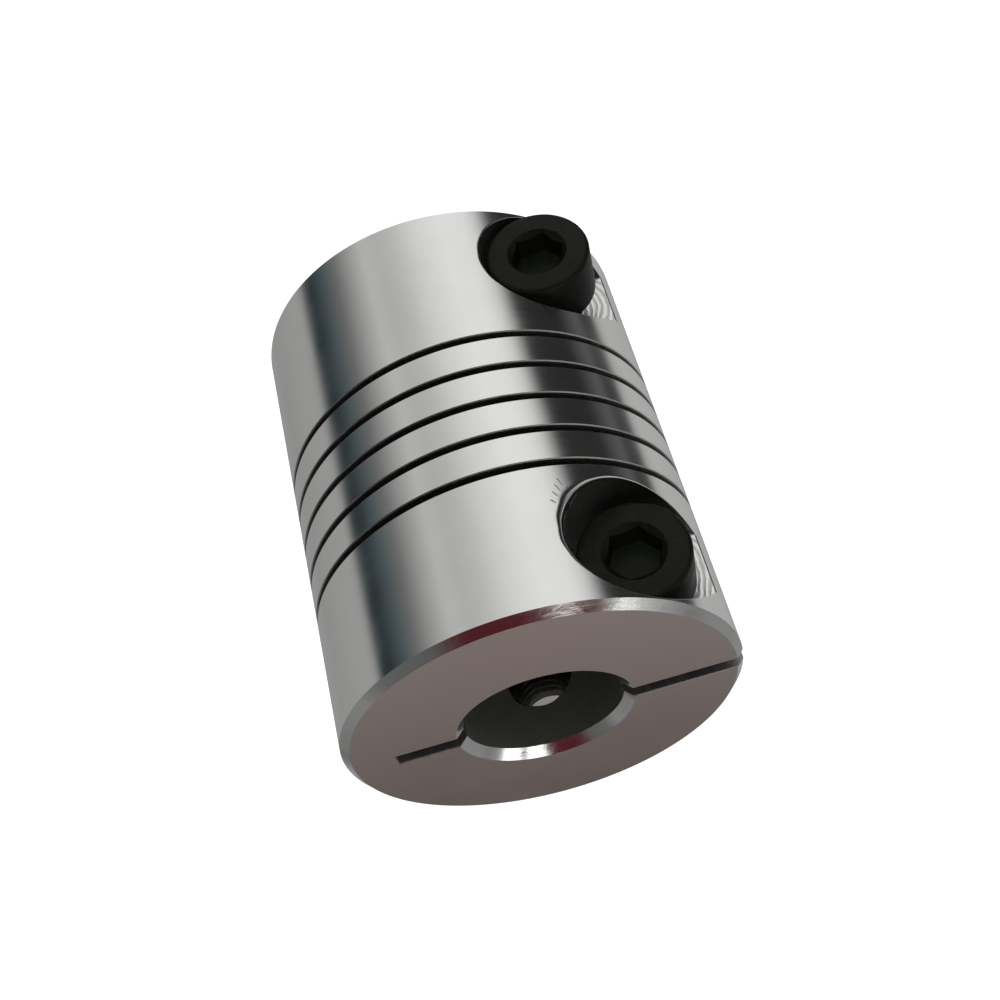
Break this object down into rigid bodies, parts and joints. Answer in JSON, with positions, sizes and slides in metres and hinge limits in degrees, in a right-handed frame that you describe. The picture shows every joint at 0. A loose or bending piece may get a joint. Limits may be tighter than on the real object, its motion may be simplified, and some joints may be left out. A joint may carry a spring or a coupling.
{
  "type": "beam coupling",
  "caption": "Clamp type beam coupling: one-piece aluminium cylinder with a helical slot, a split clamp hub at each end and a socket head clamp screw in each.",
  "frame": {"origin": "centre of the lower end face, on the shaft axis", "axes": "+Z along the shaft axis from the lower end face to the upper one; -Y is the side of the screw heads; the clamp slit opens towards -X"},
  "size_m": [0.02, 0.02, 0.025],
  "materials": {
    "body": "fine turned, bright",
    "beam": "fine turned, bright",
    "screw": "black oxide"
  },
  "bodies": {
    "lower_hub": {"lower_hub": "body"},
    "lower_clamp_jaw": {"lower_clamp_jaw": "body"},
    "lower_clamp_screw": {"lower_clamp_screw": "screw"},
    "beam_1": {"beam_half_turn_1": "beam"},
    "beam_2": {"beam_half_turn_2": "beam"},
    "beam_3": {"beam_half_turn_3": "beam"},
    "beam_4": {"beam_half_turn_4": "beam"},
    "beam_5": {"beam_half_turn_5": "beam"},
    "beam_6": {"beam_half_turn_6": "beam"},
    "beam_7": {"beam_half_turn_7": "beam"},
    "beam_8": {"beam_half_turn_8": "beam"},
    "upper_hub": {"upper_hub": "body"},
    "upper_clamp_jaw": {"upper_clamp_jaw": "body"},
    "upper_clamp_screw": {"upper_clamp_screw": "screw"}
  },
  "joints": [
    {"name": "lower_bend_x", "type": "hinge", "parent": "lower_hub", "child": "beam_1", "pos_m": [0, 0, 0.00828], "axis": [1, 0, 0], "range_deg": [-1.25, 1.25], "stiffness_Nm_per_rad": 0.6, "deforming": ["beam_half_turn_1"]},
    {"name": "lower_bend_y", "type": "hinge", "parent": "beam_1", "child": "beam_2", "pos_m": [0, 0, 0.00928], "axis": [0, 1, 0], "range_deg": [-1.25, 1.25], "stiffness_Nm_per_rad": 0.6, "deforming": ["beam_half_turn_2"]},
    {"name": "twist", "type": "hinge", "parent": "beam_2", "child": "beam_3", "pos_m": [0, 0, 0.01028], "axis": [0, 0, 1], "range_deg": [-0.4, 0.4], "stiffness_Nm_per_rad": 1, "deforming": ["beam_half_turn_3"]},
    {"name": "stretch", "type": "slide", "parent": "beam_3", "child": "beam_4", "axis": [0, 0, 1], "range_m": [-0.0001, 0.0001], "stiffness_N_per_m": 3000, "deforming": ["beam_half_turn_4"]},
    {"name": "twist_middle", "type": "hinge", "parent": "beam_4", "child": "beam_5", "pos_m": [0, 0, 0.01228], "axis": [0, 0, 1], "range_deg": [-0.4, 0.4], "stiffness_Nm_per_rad": 1, "deforming": ["beam_half_turn_5"]},
    {"name": "stretch_upper", "type": "slide", "parent": "beam_5", "child": "beam_6", "axis": [0, 0, 1], "range_m": [-0.0001, 0.0001], "stiffness_N_per_m": 3000, "deforming": ["beam_half_turn_6"]},
    {"name": "upper_bend_y", "type": "hinge", "parent": "beam_6", "child": "beam_7", "pos_m": [0, 0, 0.01428], "axis": [0, 1, 0], "range_deg": [-1.25, 1.25], "stiffness_Nm_per_rad": 0.6, "deforming": ["beam_half_turn_7"]},
    {"name": "upper_bend_x", "type": "hinge", "parent": "beam_7", "child": "beam_8", "pos_m": [0, 0, 0.01528], "axis": [1, 0, 0], "range_deg": [-1.25, 1.25], "stiffness_Nm_per_rad": 0.6, "deforming": ["beam_half_turn_8"]},
    {"name": "twist_upper", "type": "hinge", "parent": "beam_8", "child": "upper_hub", "pos_m": [0, 0, 0.01678], "axis": [0, 0, 1], "range_deg": [-0.4, 0.4], "stiffness_Nm_per_rad": 1},
    {"name": "lower_clamp", "type": "hinge", "parent": "lower_hub", "child": "lower_clamp_jaw", "pos_m": [0.0075, 0, 0.0038], "axis": [0, 0, -1], "range_deg": [0, 0.8], "stiffness_Nm_per_rad": 1.5},
    {"name": "upper_clamp", "type": "hinge", "parent": "upper_hub", "child": "upper_clamp_jaw", "pos_m": [0.0075, 0, 0.0212], "axis": [0, 0, -1], "range_deg": [0, 0.8], "stiffness_Nm_per_rad": 1.5},
    {"name": "lower_screw_travel", "type": "slide", "parent": "lower_hub", "child": "lower_clamp_screw", "axis": [0, -1, 0], "range_m": [-0.0022, 0.0033]},
    {"name": "upper_screw_travel", "type": "slide", "parent": "upper_hub", "child": "upper_clamp_screw", "axis": [0, -1, 0], "range_m": [0, 0.0055]}
  ],
  "couplings": [
    {"joint": "twist_middle", "follows": "twist", "ratio": 1},
    {"joint": "twist_upper", "follows": "twist", "ratio": 1},
    {"joint": "stretch_upper", "follows": "stretch", "ratio": 1}
  ]
}
